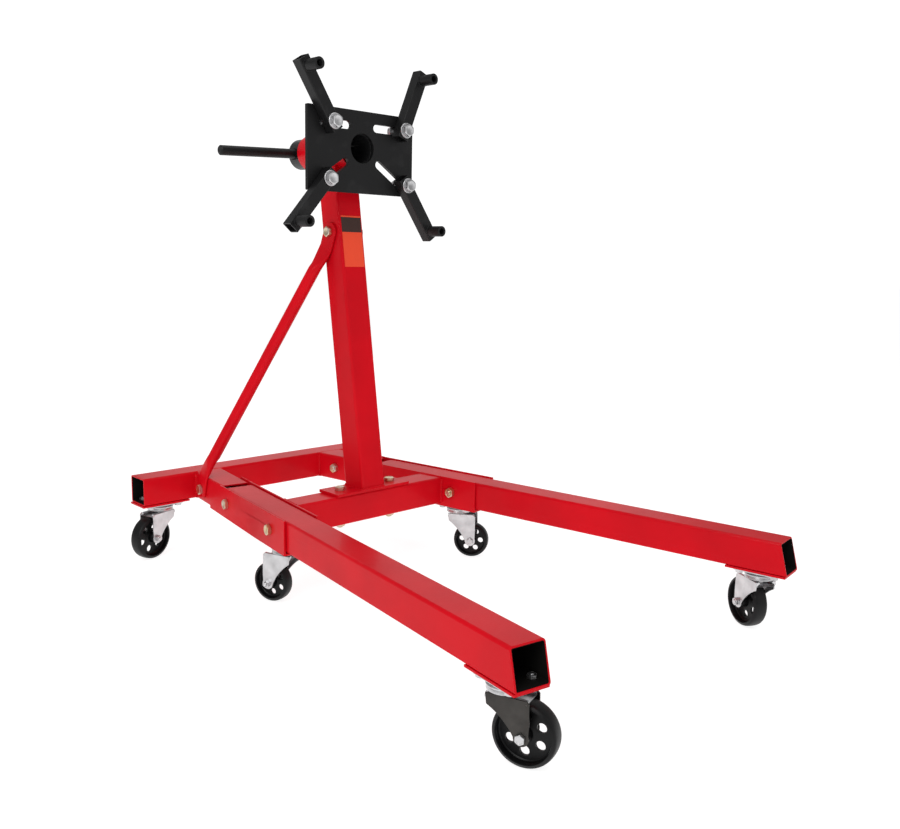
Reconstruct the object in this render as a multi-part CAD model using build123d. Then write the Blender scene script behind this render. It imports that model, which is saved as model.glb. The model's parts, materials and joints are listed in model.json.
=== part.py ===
from build123d import *

import os
from math import cos, radians, sin, tan

# Folding engine stand, in millimetres. +X is the way the legs point and the head faces, +Y is the left-hand side
# of a person who stands behind the stand and looks along +X, and Z = 0 is the floor. The origin is on the floor,
# under the middle of the stand's box.

# Base frame
BEAM_SIZE = 60.0  # square tube of the whole frame
BEAM_WALL = 3.0
BEAM_OUTER_RADIUS = 5.0
BEAM_INNER_RADIUS = 2.0
BASE_FRONT_X = -547.5  # front face of the rear crossbar, where the bracket distances start
BASE_Z = 122.0  # underside of the frame tubes
CROSSBAR_LENGTH = 646.0
SPLAY = 9.0  # angle of each leg away from +X
BRACKET_Y = 168.0  # leg centre line at the front face of the rear crossbar
STUB_WIDTH = 62.0
STUB_END = 156.0  # distances along the leg centre line from BASE_FRONT_X
PLATE_START = 98.0
PLATE_END = 473.0
FLOOR_PLATE_START = 345.0
SIDE_PLATE = 4.0
LEG_GAP = 1.0  # between a leg and the bracket's sides and floor
PLATE_RISE = 2.0  # side plates above the leg
CENTER_BAR_BACK = 322.0  # from BASE_FRONT_X
FRAME_TOP_Z = BASE_Z + BEAM_SIZE
MID_Z = BASE_Z + BEAM_SIZE / 2

# Legs
LEG_START = 180.0
LEG_TOP_END = 1132.0
LEG_END_SLANT = 16.0
PIVOT_AT = 194.0
LOCK_AT = 408.0
PIVOT_FIT = 0.05  # radial clearance of a leg on its pivot bolt

# Upright and braces
LEAN = 8.5
FOOT_LENGTH = 190.0
FOOT_WIDTH = 64.0
FOOT_THICK = 6.0
FOOT_BOLT_Y = 66.0
AXIS_Z = BASE_Z + 754.0  # turning axis of the head
BRACE_TUBE = 26.0
BRACE_WALL = 2.0
BRACE_FLAT_WIDTH = 38.0
BRACE_FLAT_THICK = 6.0
BRACE_TONGUE = 34.0  # from a brace bolt to where the flattened end stops
BRACE_BLEND = 40.0
BRACE_TOP_Z = BASE_Z + 590.0
BRACE_FOOT_AT = 50.0

# Head
PLATE_FACE_X = BASE_FRONT_X + 337.0
PLATE_THICK = 8.0
PLATE_WIDTH = 265.0
PLATE_HEIGHT = 160.0
PLATE_DROP = 8.0  # plate centre below the turning axis
PLATE_HOLE = 58.0
SLOT_WIDTH = 16.0
TUBE_DIAMETER = 63.0
TUBE_WALL = 3.5
TUBE_LENGTH = 205.0
SLEEVE_DIAMETER = 73.0
SLEEVE_LENGTH = 150.0
SLEEVE_BACK = 174.0  # sleeve's rear end behind the plate's face
SLEEVE_FIT = 0.08
BAR_DIAMETER = 20.0
BAR_FIT = 0.08
BAR_NEAR = 209.0  # bar's long end, measured from the turning axis
BAR_FAR = 91.0
BAR_BEHIND = 193.0  # bar's centre behind the plate's face
BAR_TILT = 2.5
LOCK_SCREW_BEHIND = 100.0
LOCK_SCREW_GAP = 0.5
LOCK_SCREW_FIT = 0.05

# Arms: slot ends, bolt place and pointing angle in the plate's plane, from the turning axis (Y, Z)
ARM_SIZE = 25.0
ARM_WALL = 2.5
ARM_ROOT = 18.0
ARM_REACH = 128.0
BUSH_AT = 111.0
BUSH_DIAMETER = 22.0
BUSH_BORE = 13.0
BUSH_LENGTH = 61.0
ARM_BOLT = 14.0
ARM_GAP = 0.3
ARMS = {
    "upper_right": ((-36.0, 42.0), (-96.0, 42.0), (-87.0, 42.0), 123.0),
    "upper_left": ((36.0, 42.0), (102.0, 42.0), (93.0, 42.0), 67.5),
    "lower_right": ((-42.0, -29.0), (-105.0, -70.0), (-97.5, -65.1), 229.0),
    "lower_left": ((42.0, -29.0), (108.0, -72.0), (100.5, -67.1), 305.5),
}

# Bolts: shank, across flats, head height
M12 = (12.0, 19.0, 7.5)
M8 = (8.0, 13.0, 5.5)
NUT_HEIGHT = {12.0: 10.0, 8.0: 6.5, 14.0: 11.0}
M14 = (14.0, 22.0, 8.8)

# Casters: wheel radius, wheel width, overall height under its mounting face, trail
MAIN_CASTER = (47.0, 28.0, 118.0, 32.0)
MID_CASTER = (39.0, 25.0, 117.0, 30.0)
CASTER_PLATE = (110.0, 60.0, 4.0)  # welded carrying plate
TOP_PLATE = (84.0, 56.0, 2.5)
TOP_PLATE_BOLTS = (32.0, 18.0)
AXLE_FIT = 0.08
REAR_CASTER_INSET = 52.0  # from the end of the rear crossbar to a swivel axis
FRONT_CASTER_AT = 1090.0  # swivel axes along the leg centre line
MIDDLE_CASTER_AT = 405.0
CASTERS = {  # style and rest direction of the wheel from the swivel axis
    "rear_right": (MAIN_CASTER, -72.0),
    "rear_left": (MAIN_CASTER, 75.0),
    "middle_right": (MID_CASTER, -160.0),
    "middle_left": (MID_CASTER, 35.0),
    "front_right": (MAIN_CASTER, 20.0),
    "front_left": (MAIN_CASTER, 153.0),
}

SIDES = {"left": 1, "right": -1}
parts = {}


def block(x0, x1, y0, y1, z0, z1):
    """A box between two corners."""
    return Pos((x0 + x1) / 2, (y0 + y1) / 2, (z0 + z1) / 2) * Box(x1 - x0, y1 - y0, z1 - z0)


def rod(diameter, start, end):
    """A round bar between two points."""
    a, b = Vector(*start), Vector(*end)
    return extrude(Plane(a, z_dir=(b - a).normalized()) * Circle(diameter / 2), amount=(b - a).length)


def hexagon(flats, start, end):
    """A hexagonal bar between two points, with its corners chamfered off by a cone at the far end."""
    a, b = Vector(*start), Vector(*end)
    outline = RegularPolygon(flats / 2, 6, major_radius=False)
    return extrude(Plane(a, z_dir=(b - a).normalized()) * outline, amount=(b - a).length)


def square_tube(x0, x1, width=BEAM_SIZE, height=BEAM_SIZE, wall=BEAM_WALL, radii=(BEAM_OUTER_RADIUS, BEAM_INNER_RADIUS)):
    """A hollow square tube along X, centred on the X axis."""
    outer = RectangleRounded(width, height, radii[0])
    inner = RectangleRounded(width - 2 * wall, height - 2 * wall, radii[1])
    return extrude(Pos(x0, 0, 0) * (Plane.YZ * (outer - inner)), amount=x1 - x0)


def prism_xz(points, half_width):
    """A solid with a side view in XZ, centred on Y = 0."""
    face = make_face(Polyline(*[(x, 0, z) for x, z in points], close=True))
    return extrude(face, amount=half_width, dir=(0, 1, 0), both=True)


def bracket_place(side):
    """Local frame of one bracket: X runs along the leg, Y is the leg's normal, Z stays upright."""
    angle = radians(SPLAY)
    return Plane(
        origin=(BASE_FRONT_X, side * BRACKET_Y, 0),
        x_dir=(cos(angle), side * sin(angle), 0),
        z_dir=(0, 0, 1),
    ).location


def bolt(size, start, end):
    """A hex bolt: its shank runs from start to end, and its head stands outside start."""
    shank, flats, head = size
    a, b = Vector(*start), Vector(*end)
    out = (a - b).normalized()
    return hexagon(flats, a, a + out * head) + rod(shank, a, b)


def nut(size, start, direction):
    """A hex nut that stands on start and fills NUT_HEIGHT along direction, bored for its bolt."""
    shank, flats, _ = size
    a, d = Vector(*start), Vector(*direction).normalized()
    end = a + d * NUT_HEIGHT[shank]
    return hexagon(flats, a, end) - rod(shank, a, end)


def group(*solids):
    return Compound(children=list(solids))


# ---------------------------------------------------------------- base frame
def rear_crossbar():
    bar = square_tube(-CROSSBAR_LENGTH / 2, CROSSBAR_LENGTH / 2)
    bar = Pos(BASE_FRONT_X - BEAM_SIZE / 2, 0, MID_Z) * Rot(0, 0, 90) * bar
    for place in (caster_place("rear_right"), caster_place("rear_left")):
        bar -= caster_bolt_holes(place)
    return bar


def stub_tube(side):
    """Short tube that joins a bracket to the rear crossbar, cut off flat at the crossbar's face."""
    tube = Pos(0, 0, MID_Z) * square_tube(-40, STUB_END, width=STUB_WIDTH)
    tube -= rod(M12[0], (BRACE_FOOT_AT, -STUB_WIDTH, MID_Z), (BRACE_FOOT_AT, STUB_WIDTH, MID_Z))
    tube = bracket_place(side) * tube
    return tube - block(BASE_FRONT_X - 100, BASE_FRONT_X, -400, 400, 0, 400)


def bracket_plates(side):
    """Outer and inner side plates that hold the stub tube at the back and the leg at the front."""
    low, floor, high = BASE_Z - 1, BASE_Z - LEG_GAP - SIDE_PLATE, FRAME_TOP_Z + PLATE_RISE
    chamfer_x, chamfer_z = 9.0, 12.0
    outline = [
        (PLATE_START, low),
        (FLOOR_PLATE_START, floor),
        (PLATE_END, floor),
        (PLATE_END, high),
        (PLATE_START + chamfer_x, high),
        (PLATE_START, high - chamfer_z),
    ]
    inner_face = STUB_WIDTH / 2
    solids = []
    for way in (1, -1):
        plate = prism_xz(outline, SIDE_PLATE / 2)
        plate = Pos(0, way * (inner_face + SIDE_PLATE / 2), 0) * plate
        for at in (PIVOT_AT, LOCK_AT):
            plate -= rod(M12[0], (at, -60, MID_Z), (at, 60, MID_Z))
        solids.append(bracket_place(side) * plate)
    return group(*solids)


def bracket_floor_plate(side):
    """Plate between the side plates, under the leg, that carries the middle caster."""
    top = BASE_Z - LEG_GAP
    half = STUB_WIDTH / 2
    plate = bracket_place(side) * block(FLOOR_PLATE_START, PLATE_END, -half, half, top - SIDE_PLATE, top)
    return plate - caster_bolt_holes(caster_place(f"middle_{'left' if side > 0 else 'right'}"))


def inner_face_y(x_from_base):
    """Distance of a bracket's innermost face from the middle plane, at a distance ahead of the rear crossbar."""
    return BRACKET_Y + x_from_base * tan(radians(SPLAY)) - (STUB_WIDTH / 2 + SIDE_PLATE) / cos(radians(SPLAY))


def center_crossbar():
    """Tube between the brackets, mitred to their inner plates, that carries the upright."""
    middle = BASE_FRONT_X + CENTER_BAR_BACK + BEAM_SIZE / 2
    tube = Pos(middle, 0, MID_Z) * Rot(0, 0, 90) * square_tube(-300, 300)
    back, front = CENTER_BAR_BACK, CENTER_BAR_BACK + BEAM_SIZE
    corners = [(x, way * inner_face_y(x)) for x, way in ((back, -1), (front, -1), (front, 1), (back, 1))]
    outline = make_face(Polyline(*[(BASE_FRONT_X + x, y) for x, y in corners], close=True))
    tube &= extrude(Pos(0, 0, BASE_Z - 1) * outline, amount=BEAM_SIZE + 2)
    for y in (-FOOT_BOLT_Y, FOOT_BOLT_Y):
        tube -= rod(M12[0], (middle, y, 0), (middle, y, 400))
    return tube


# ---------------------------------------------------------------- casters
def caster_place(name):
    """Swivel axis of a caster on its mounting face, turned in line with the tube that carries it."""
    style, _ = CASTERS[name]
    end, hand = name.split("_")
    side = SIDES[hand]
    if end == "rear":
        return Location((BASE_FRONT_X - BEAM_SIZE / 2, side * (CROSSBAR_LENGTH / 2 - REAR_CASTER_INSET), style[2]), (0, 0, 90))
    at = FRONT_CASTER_AT if end == "front" else MIDDLE_CASTER_AT
    return bracket_place(side) * Location((at, 0, style[2]))


def caster_bolt_points():
    return [(x * TOP_PLATE_BOLTS[0], y * TOP_PLATE_BOLTS[1]) for x in (1, -1) for y in (1, -1)]


def caster_bolt_holes(place):
    holes = [rod(M8[0], (x, y, -10), (x, y, 20)) for x, y in caster_bolt_points()]
    return place * group(*holes)


def carrying_plate(name):
    """Steel plate welded under a tube end, with the holes for the caster's bolts."""
    length, width, thick = CASTER_PLATE
    place = caster_place(name)
    return place * block(-length / 2, length / 2, -width / 2, width / 2, 0, thick) - caster_bolt_holes(place)


def caster_mount(name):
    """Caster's top plate with its pressed bearing seat, four bolts and four nuts."""
    length, width, thick = TOP_PLATE
    seat_diameter, seat_depth, pin = 46.0, 6.0, 10.0
    plate = block(-length / 2, length / 2, -width / 2, width / 2, -thick, 0)
    plate = fillet(plate.edges().filter_by(Axis.Z), 8)
    plate += rod(seat_diameter, (0, 0, -thick), (0, 0, -seat_depth))
    plate -= rod(pin + 2 * AXLE_FIT, (0, 0, -20), (0, 0, 1))
    grip = CASTER_PLATE[2] + BEAM_WALL if "middle" not in name else SIDE_PLATE
    solids = []
    for x, y in caster_bolt_points():
        plate -= rod(M8[0], (x, y, -20), (x, y, 1))
        solids.append(bolt(M8, (x, y, -thick), (x, y, grip + NUT_HEIGHT[M8[0]] + 3)) if "middle" not in name
                      else bolt(M8, (x, y, -thick), (x, y, grip)))
        if "middle" not in name:
            solids.append(nut(M8, (x, y, grip), (0, 0, 1)))
    return [caster_place(name) * solid for solid in [plate, *solids]]


def wheel_place(name):
    """Frame of a caster's fork: X points from the swivel axis to the wheel."""
    style, angle = CASTERS[name]
    spot = caster_place(name).position
    return Location((spot.X, spot.Y, style[2]), (0, 0, angle))


def caster_fork(name):
    """Pressed fork: a bearing cup, a crown and two tapering legs that are rounded about the axle."""
    (radius, width, height, trail), _ = CASTERS[name]
    axle_z = radius - height
    gap, sheet, crown_top, crown_drop = width / 2 + 4.0, 2.5, -7.0, 6.0
    crown_radius, tip_radius = 29.0, 11.0
    crown_low = crown_top - crown_drop
    cup = rod(52, (0, 0, crown_low), (0, 0, crown_top))
    crown = rod(2 * crown_radius, (0, 0, crown_low - sheet), (0, 0, crown_low))
    outline = [
        (-crown_radius + 6, crown_low),
        (crown_radius + 1, crown_low),
        (trail + tip_radius, axle_z),
        (trail - tip_radius, axle_z),
        (-crown_radius + 6, crown_low - 16),
    ]
    legs = []
    for way in (1, -1):
        leg = prism_xz(outline, sheet / 2) + Plane.XZ * Pos(trail, axle_z, 0) * Cylinder(tip_radius, sheet)
        legs.append(Pos(0, way * (gap + sheet / 2), 0) * leg)
    bridge = block(-crown_radius + 6, crown_radius + 1, -gap - sheet, gap + sheet, crown_low - sheet, crown_low)
    fork = cup + crown + bridge + legs[0] + legs[1]
    fork -= rod(10, (0, 0, -60), (0, 0, 0))
    fork -= rod(M8[0], (trail, -60, axle_z), (trail, 60, axle_z))
    return wheel_place(name) * fork


def caster_pins(name):
    """Kingpin rivet of the swivel, and the axle bolt with its nut."""
    (radius, width, height, trail), _ = CASTERS[name]
    axle_z, side = radius - height, width / 2 + 4.0 + 2.5
    kingpin = rod(10, (0, 0, -18), (0, 0, -0.5)) + rod(18, (0, 0, -15.5 - 4), (0, 0, -15.5))
    axle = bolt(M8, (trail, -side, axle_z), (trail, side + NUT_HEIGHT[M8[0]] + 2, axle_z))
    axle_nut = nut(M8, (trail, side, axle_z), (0, 1, 0))
    return [wheel_place(name) * solid for solid in (kingpin, axle, axle_nut)]


def caster_wheel(name):
    """One-piece wheel: crowned tread, recessed web with six round holes, and a hub."""
    (radius, width, height, trail), _ = CASTERS[name]
    half, web, hub = width / 2, 2.5, 11.0
    rim_inner, bore = radius - 9.0, M8[0] / 2 + AXLE_FIT
    shoulder = 4.0
    profile = make_face(
        Polyline(
            (bore, -half - 1.5), (hub, -half - 1.5), (hub, -web), (rim_inner, -web), (rim_inner + 1, -half + 1),
            (rim_inner + 2, -half), (radius - shoulder, -half), (radius - 1, -half + shoulder), (radius, 0),
            (radius - 1, half - shoulder), (radius - shoulder, half), (rim_inner + 2, half), (rim_inner + 1, half - 1),
            (rim_inner, web), (hub, web), (hub, half + 1.5), (bore, half + 1.5), close=True,
        )
    )
    wheel = revolve(profile, Axis.Y)
    hole_radius, hole_at = radius * 0.17, radius * 0.54
    for step in range(6):
        angle = radians(60 * step + 15)
        x, z = hole_at * cos(angle), hole_at * sin(angle)
        wheel -= rod(2 * hole_radius, (x, -half, z), (x, half, z))
    return wheel_place(name) * Pos(trail, 0, radius - height) * wheel


# ---------------------------------------------------------------- legs
def leg(side):
    """Folding leg: a square tube with a slanted front end, holes for its bolts and for the caster's bolts."""
    tube = Pos(0, 0, MID_Z) * square_tube(LEG_START, LEG_TOP_END + LEG_END_SLANT)
    tube &= prism_xz(
        [(LEG_START, BASE_Z - 1), (LEG_TOP_END + LEG_END_SLANT, BASE_Z - 1), (LEG_TOP_END, FRAME_TOP_Z + 1),
         (LEG_START, FRAME_TOP_Z + 1)],
        BEAM_SIZE,
    )
    for at in (PIVOT_AT, LOCK_AT):
        tube -= rod(M12[0] + 2 * PIVOT_FIT, (at, -60, MID_Z), (at, 60, MID_Z))
    tube = bracket_place(side) * tube
    return tube - caster_bolt_holes(caster_place(f"front_{'left' if side > 0 else 'right'}"))


def leg_pivot_bolt(side):
    start = side * (STUB_WIDTH / 2 + SIDE_PLATE)
    end = -side * (STUB_WIDTH / 2 + SIDE_PLATE + NUT_HEIGHT[M12[0]] + 3)
    return bracket_place(side) * bolt(M12, (PIVOT_AT, start, MID_Z), (PIVOT_AT, end, MID_Z))


def leg_lock_bolt(side):
    """Head end and thread end of the lock bolt; both stop short of the leg, so that the leg can fold."""
    face, reach = STUB_WIDTH / 2 + SIDE_PLATE, STUB_WIDTH / 2 - LEG_GAP / 2
    head = bolt(M12, (LOCK_AT, side * face, MID_Z), (LOCK_AT, side * reach, MID_Z))
    thread = rod(M12[0], (LOCK_AT, -side * reach, MID_Z), (LOCK_AT, -side * (face + NUT_HEIGHT[M12[0]] + 3), MID_Z))
    return [bracket_place(side) * head, bracket_place(side) * thread]


# ---------------------------------------------------------------- upright, braces
FOOT_X = BASE_FRONT_X + CENTER_BAR_BACK + BEAM_SIZE / 2
FOOT_TOP_Z = FRAME_TOP_Z + FOOT_THICK


def upright_x(z):
    """Centre line of the leaning upright."""
    return FOOT_X - (z - FOOT_TOP_Z) * tan(radians(LEAN))


def upright_foot_plate():
    plate = block(FOOT_X - FOOT_WIDTH / 2, FOOT_X + FOOT_WIDTH / 2, -FOOT_LENGTH / 2, FOOT_LENGTH / 2,
                  FRAME_TOP_Z, FOOT_TOP_Z)
    for y in (-FOOT_BOLT_Y, FOOT_BOLT_Y):
        plate -= rod(M12[0], (FOOT_X, y, 0), (FOOT_X, y, 400))
    return plate


def sleeve_ends():
    back = PLATE_FACE_X - SLEEVE_BACK
    return back, back + SLEEVE_LENGTH


def upright_tube():
    """Leaning square tube, cut level on its foot plate and saddled to the sleeve at its top."""
    tube = Pos(FOOT_X, 0, FOOT_TOP_Z) * Rot(0, -LEAN, 0) * Rot(0, -90, 0) * square_tube(-60, AXIS_Z - FOOT_TOP_Z + 60)
    tube &= block(BASE_FRONT_X, BASE_FRONT_X + 600, -50, 50, FOOT_TOP_Z, AXIS_Z)
    tube -= rod(SLEEVE_DIAMETER, (BASE_FRONT_X, 0, AXIS_Z), (BASE_FRONT_X + 600, 0, AXIS_Z))
    bolt_x = upright_x(BRACE_TOP_Z)
    tube -= rod(M12[0], (bolt_x, -60, BRACE_TOP_Z), (bolt_x, 60, BRACE_TOP_Z))
    return max(tube.solids(), key=lambda solid: solid.volume)


def head_sleeve():
    back, front = sleeve_ends()
    sleeve = rod(SLEEVE_DIAMETER, (back, 0, AXIS_Z), (front, 0, AXIS_Z))
    sleeve -= rod(TUBE_DIAMETER + 2 * SLEEVE_FIT, (back, 0, AXIS_Z), (front, 0, AXIS_Z))
    x = PLATE_FACE_X - LOCK_SCREW_BEHIND
    return sleeve - rod(M12[0] + 2 * LOCK_SCREW_FIT, (x, 0, AXIS_Z), (x, 0, AXIS_Z + 80))


def lock_screw_seat_z():
    return AXIS_Z + SLEEVE_DIAMETER / 2


def head_lock_screw():
    """Tee-handled screw in the top of the sleeve; its tip stops just clear of the turning tube."""
    x = PLATE_FACE_X - LOCK_SCREW_BEHIND
    low, top = AXIS_Z + TUBE_DIAMETER / 2 + LOCK_SCREW_GAP, AXIS_Z + 86
    screw = rod(M12[0], (x, 0, low), (x, 0, top))
    return screw + rod(10, (x, -30, top - 6), (x, 30, top - 6))


def brace(side):
    """Round tube with flattened ends: one flat lies on the upright's side, the other on the stub's outer side."""
    half = BRACE_FLAT_THICK / 2
    top_hole = Vector(upright_x(BRACE_TOP_Z), side * (BEAM_SIZE / 2 + half), BRACE_TOP_Z)
    place = bracket_place(side)
    foot_hole = (place * Location((BRACE_FOOT_AT, side * (STUB_WIDTH / 2 + half), MID_Z))).position
    top_normal = Vector(0, side, 0)
    foot_normal = Vector(-sin(radians(SPLAY)) * side, cos(radians(SPLAY)), 0) * side
    run = top_hole - foot_hole
    down = (-run + top_normal * run.dot(top_normal)).normalized()
    up = (run - foot_normal * run.dot(foot_normal)).normalized()
    top_end, foot_end = top_hole + down * BRACE_TONGUE, foot_hole + up * BRACE_TONGUE
    axis = (top_end - foot_end).normalized()
    low, high = foot_end + axis * BRACE_BLEND, top_end - axis * BRACE_BLEND

    def tongue(hole, way, normal):
        outline = Rectangle(BRACE_TONGUE, BRACE_FLAT_WIDTH, align=(Align.MIN, Align.CENTER)) + Circle(BRACE_FLAT_WIDTH / 2)
        flat = Plane(hole - normal * half, x_dir=way, z_dir=normal) * outline
        return extrude(flat, amount=BRACE_FLAT_THICK)

    def blend(end, way, normal, centre):
        section = Plane(end, x_dir=normal.cross(way), z_dir=way) * RectangleRounded(BRACE_FLAT_WIDTH, BRACE_FLAT_THICK, 2.9)
        ring = Plane(centre, x_dir=normal.cross(way), z_dir=axis if way.dot(axis) > 0 else -axis) * Circle(BRACE_TUBE / 2)
        return loft([section.face(), ring.face()])

    solid = rod(BRACE_TUBE, low, high) + tongue(top_hole, down, top_normal) + tongue(foot_hole, up, foot_normal)
    solid += blend(foot_end, up, foot_normal, low)
    solid += blend(top_end, down, top_normal, high)
    solid -= rod(BRACE_TUBE - 2 * BRACE_WALL, low, high)
    solid -= rod(M12[0], top_hole - top_normal * 20, top_hole + top_normal * 20)
    solid -= rod(M12[0], foot_hole - foot_normal * 20, foot_hole + foot_normal * 20)
    return solid


def brace_bolts():
    """One long bolt through the upright, and one bolt through each stub tube."""
    reach, x = BEAM_SIZE / 2 + BRACE_FLAT_THICK, upright_x(BRACE_TOP_Z)
    solids = [bolt(M12, (x, -reach, BRACE_TOP_Z), (x, reach + NUT_HEIGHT[M12[0]] + 3, BRACE_TOP_Z))]
    for side in SIDES.values():
        start, end = side * (STUB_WIDTH / 2 + BRACE_FLAT_THICK), -side * (STUB_WIDTH / 2 + NUT_HEIGHT[M12[0]] + 3)
        solids.append(bracket_place(side) * bolt(M12, (BRACE_FOOT_AT, start, MID_Z), (BRACE_FOOT_AT, end, MID_Z)))
    return group(*solids)


def foot_plate_bolts():
    return group(*[bolt(M12, (FOOT_X, y, FOOT_TOP_Z), (FOOT_X, y, BASE_Z - NUT_HEIGHT[M12[0]] - 3))
                   for y in (-FOOT_BOLT_Y, FOOT_BOLT_Y)])


def frame_nuts():
    """Nuts of the foot plate, brace, pivot and lock bolts, and the nut welded on the sleeve for the lock screw."""
    solids = [nut(M12, (FOOT_X, y, BASE_Z), (0, 0, -1)) for y in (-FOOT_BOLT_Y, FOOT_BOLT_Y)]
    solids.append(nut(M12, (upright_x(BRACE_TOP_Z), BEAM_SIZE / 2 + BRACE_FLAT_THICK, BRACE_TOP_Z), (0, 1, 0)))
    for side in SIDES.values():
        inner = STUB_WIDTH / 2
        for at, face in ((BRACE_FOOT_AT, inner), (PIVOT_AT, inner + SIDE_PLATE), (LOCK_AT, inner + SIDE_PLATE)):
            solids.append(bracket_place(side) * nut(M12, (at, -side * face, MID_Z), (0, -side, 0)))
    x, seat = PLATE_FACE_X - LOCK_SCREW_BEHIND, lock_screw_seat_z()
    welded = hexagon(M12[1], (x, 0, seat - 4), (x, 0, seat + NUT_HEIGHT[M12[0]]))
    welded -= rod(M12[0] + 2 * LOCK_SCREW_FIT, (x, 0, AXIS_Z), (x, 0, AXIS_Z + 80))
    solids.append(welded - rod(SLEEVE_DIAMETER, (x - 50, 0, AXIS_Z), (x + 50, 0, AXIS_Z)))
    return group(*solids)


# ---------------------------------------------------------------- head
def head_point(place, depth=0.0):
    """A point of the head: (Y, Z) from the turning axis, at a distance ahead of the plate's face."""
    return (PLATE_FACE_X + depth, place[0], AXIS_Z + place[1])


def slot_cutter(start, end):
    a, b = (Vector(*head_point(p, 5)) for p in (start, end))
    length, angle = (b - a).length, (b - a)
    middle = (a + b) * 0.5
    slot = Plane(middle, x_dir=angle.normalized(), z_dir=(1, 0, 0)) * SlotCenterToCenter(length, SLOT_WIDTH)
    return extrude(slot, amount=-PLATE_THICK - 10)


def mounting_plate():
    """Flat plate with a centre hole, two level slots above it and two slanted slots below it."""
    half_width, half_height, middle = PLATE_WIDTH / 2, PLATE_HEIGHT / 2, AXIS_Z - PLATE_DROP
    plate = block(PLATE_FACE_X - PLATE_THICK, PLATE_FACE_X, -half_width, half_width,
                  middle - half_height, middle + half_height)
    plate = fillet(plate.edges().filter_by(Axis.X), 2)
    plate -= rod(PLATE_HOLE, head_point((0, 0), -50), head_point((0, 0), 10))
    for start, end, _, _ in ARMS.values():
        plate -= slot_cutter(start, end)
    return plate


def bar_direction():
    return Vector(0, -cos(radians(BAR_TILT)), -sin(radians(BAR_TILT)))


def bar_centre():
    return Vector(PLATE_FACE_X - BAR_BEHIND, 0, AXIS_Z)


def rotating_tube():
    """Tube that turns in the sleeve; it is welded to the plate and cross-bored for the turning bar."""
    back, front = PLATE_FACE_X - PLATE_THICK - TUBE_LENGTH, PLATE_FACE_X - PLATE_THICK
    tube = rod(TUBE_DIAMETER, (back, 0, AXIS_Z), (front, 0, AXIS_Z))
    tube -= rod(TUBE_DIAMETER - 2 * TUBE_WALL, (back, 0, AXIS_Z), (front, 0, AXIS_Z))
    reach = bar_direction() * 60
    return tube - rod(BAR_DIAMETER + 2 * BAR_FIT, bar_centre() - reach, bar_centre() + reach)


def turning_bar():
    bar = rod(BAR_DIAMETER, bar_centre() + bar_direction() * BAR_NEAR, bar_centre() - bar_direction() * BAR_FAR)
    ends = [edge for edge in bar.edges().filter_by(GeomType.CIRCLE)]
    return chamfer(ends, 2)


# ---------------------------------------------------------------- arms
def arm_frame(name):
    """Frame of one arm: X points out along the arm, Z ahead, origin on the plate's face at the arm's bolt."""
    _, _, spot, angle = ARMS[name]
    return Plane(head_point(spot), x_dir=(0, cos(radians(angle)), sin(radians(angle))), z_dir=(1, 0, 0)).location


def arm_tube(name):
    middle = ARM_GAP + ARM_SIZE / 2
    tube = Pos(0, 0, middle) * square_tube(-ARM_ROOT, ARM_REACH, ARM_SIZE, ARM_SIZE, ARM_WALL, (2.5, 1.0))
    tube -= rod(ARM_BOLT + 0.1, (0, 0, -5), (0, 0, 60))
    tube -= rod(BUSH_DIAMETER, (BUSH_AT, 0, -5), (BUSH_AT, 0, 60))
    return arm_frame(name) * tube


def arm_bush(name):
    ends = (BUSH_AT, 0, ARM_GAP), (BUSH_AT, 0, BUSH_LENGTH)
    return arm_frame(name) * (rod(BUSH_DIAMETER, *ends) - rod(BUSH_BORE, *ends))


def arm_fasteners(name):
    """Bolt, front washer, rear washer and nut that clamp one arm to the plate."""
    front, back = ARM_SIZE + 2 * ARM_GAP, -PLATE_THICK - 0.2
    washer, thick = 30.0, 2.5
    solids = [
        bolt(M14, (0, 0, front + thick), (0, 0, back - thick - NUT_HEIGHT[14.0] - 3)),
        rod(washer, (0, 0, front), (0, 0, front + thick)) - rod(ARM_BOLT, (0, 0, 0), (0, 0, 60)),
        rod(washer, (0, 0, back - thick), (0, 0, back)) - rod(ARM_BOLT, (0, 0, -60), (0, 0, 60)),
        nut(M14, (0, 0, back - thick), (0, 0, -1)),
    ]
    return group(*[arm_frame(name) * solid for solid in solids])


# ---------------------------------------------------------------- the parts
parts["rear_crossbar"] = rear_crossbar()
parts["center_crossbar"] = center_crossbar()
parts["rear_caster_plates"] = group(carrying_plate("rear_right"), carrying_plate("rear_left"))
parts["bracket_floor_plates"] = group(*[bracket_floor_plate(side) for side in SIDES.values()])
parts["upright_foot_plate"] = upright_foot_plate()
parts["upright_tube"] = upright_tube()
parts["head_sleeve"] = head_sleeve()
parts["head_lock_screw"] = head_lock_screw()
parts["foot_plate_bolts"] = foot_plate_bolts()
parts["brace_bolts"] = brace_bolts()
parts["leg_pivot_bolts"] = group(*[leg_pivot_bolt(side) for side in SIDES.values()])
parts["leg_lock_bolts"] = group(*[solid for side in SIDES.values() for solid in leg_lock_bolt(side)])
parts["frame_nuts"] = frame_nuts()
for hand, side in SIDES.items():
    parts[f"stub_tube_{hand}"] = stub_tube(side)
    parts[f"bracket_plates_{hand}"] = bracket_plates(side)
    parts[f"brace_{hand}"] = brace(side)
    parts[f"leg_{hand}"] = leg(side)
    parts[f"leg_caster_plate_{hand}"] = carrying_plate(f"front_{hand}")
    parts[f"caster_mount_front_{hand}"] = group(*caster_mount(f"front_{hand}"))
frame_casters = [name for name in CASTERS if "front" not in name]
parts["caster_mounts_frame"] = group(*[solid for name in frame_casters for solid in caster_mount(name)])
for name in CASTERS:
    parts[f"caster_fork_{name}"] = caster_fork(name)
    parts[f"caster_pins_{name}"] = group(*caster_pins(name))
    parts[f"caster_wheel_{name}"] = caster_wheel(name)
parts["mounting_plate"] = mounting_plate()
parts["rotating_tube"] = rotating_tube()
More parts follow.
